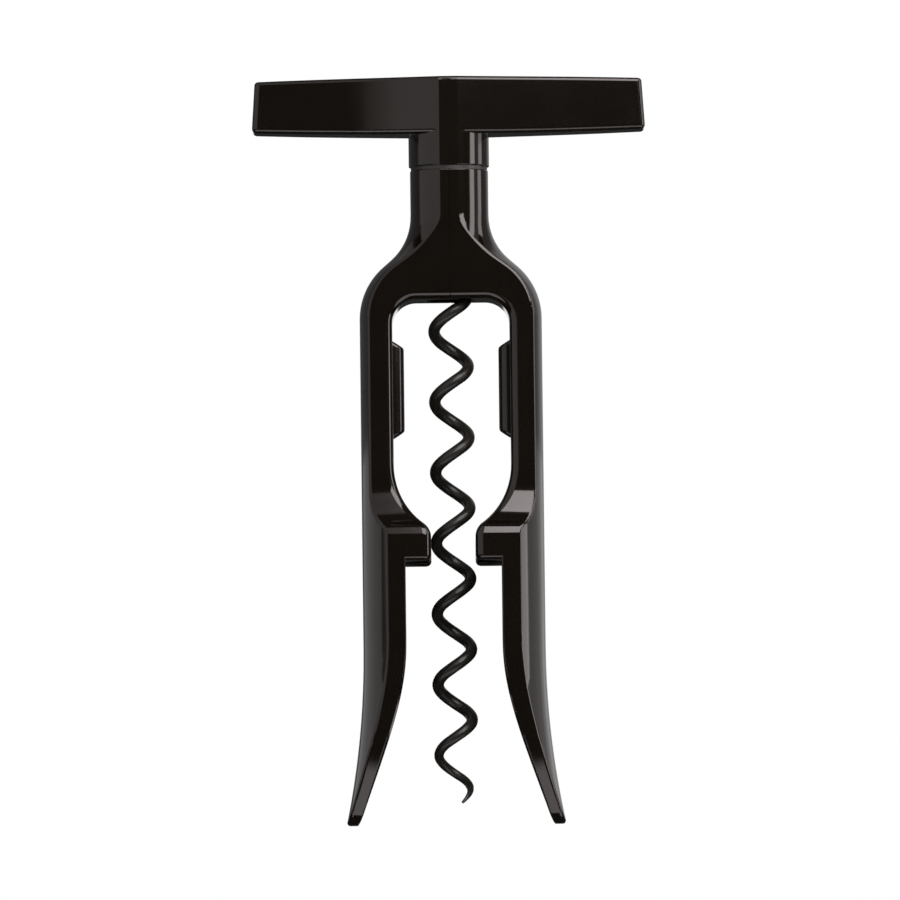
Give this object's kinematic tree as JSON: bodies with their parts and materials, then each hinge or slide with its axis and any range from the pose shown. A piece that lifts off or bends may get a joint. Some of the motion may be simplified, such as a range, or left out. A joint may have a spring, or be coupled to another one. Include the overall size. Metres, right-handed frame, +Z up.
{
  "type": "tabletop corkscrew",
  "caption": "Screw-pull corkscrew: a forked frame straddles the bottle neck, a T handle turns an open helix worm down through its collar and draws the cork up.",
  "frame": {"origin": "on the worm's axis, level with the tips of the two legs", "axes": "+Z up along the worm's axis to the handle, +X along the handle to the viewer's right, the front faces -Y"},
  "size_m": [0.087, 0.0276, 0.1656],
  "materials": {
    "frame_shell": "polished black plastic with a slight brown cast",
    "handle_shell": "polished black plastic with a slight brown cast",
    "grip_plastic": "black plastic, slightly duller than the frame",
    "bush_plastic": "dark grey slippery plastic",
    "washer_plastic": "black slippery plastic",
    "hub_metal": "die casting with black paint",
    "dowel_steel": "ground",
    "pin_steel": "ground",
    "screw_steel": "black oxide",
    "worm_coat": "satin black non-stick coat on steel wire"
  },
  "bodies": {
    "frame": {"frame_left_half": "frame_shell", "frame_right_half": "frame_shell", "frame_dowels": "dowel_steel", "neck_bush": "bush_plastic", "cork_grip_left": "grip_plastic", "cork_grip_right": "grip_plastic"},
    "washer": {"thrust_washer": "washer_plastic"},
    "handle": {"handle_front_shell": "handle_shell", "handle_rear_shell": "handle_shell", "worm_hub": "hub_metal", "torque_pin": "pin_steel", "worm_set_screws": "screw_steel", "worm": "worm_coat"}
  },
  "joints": [
    {"name": "handle_lift", "type": "slide", "parent": "frame", "child": "washer", "axis": [0, 0, 1], "range_m": [0, 0.11]},
    {"name": "handle_spin", "type": "hinge", "parent": "washer", "child": "handle", "pos_m": [0, 0, 0.146], "axis": [0, 0, 1], "continuous": true}
  ]
}
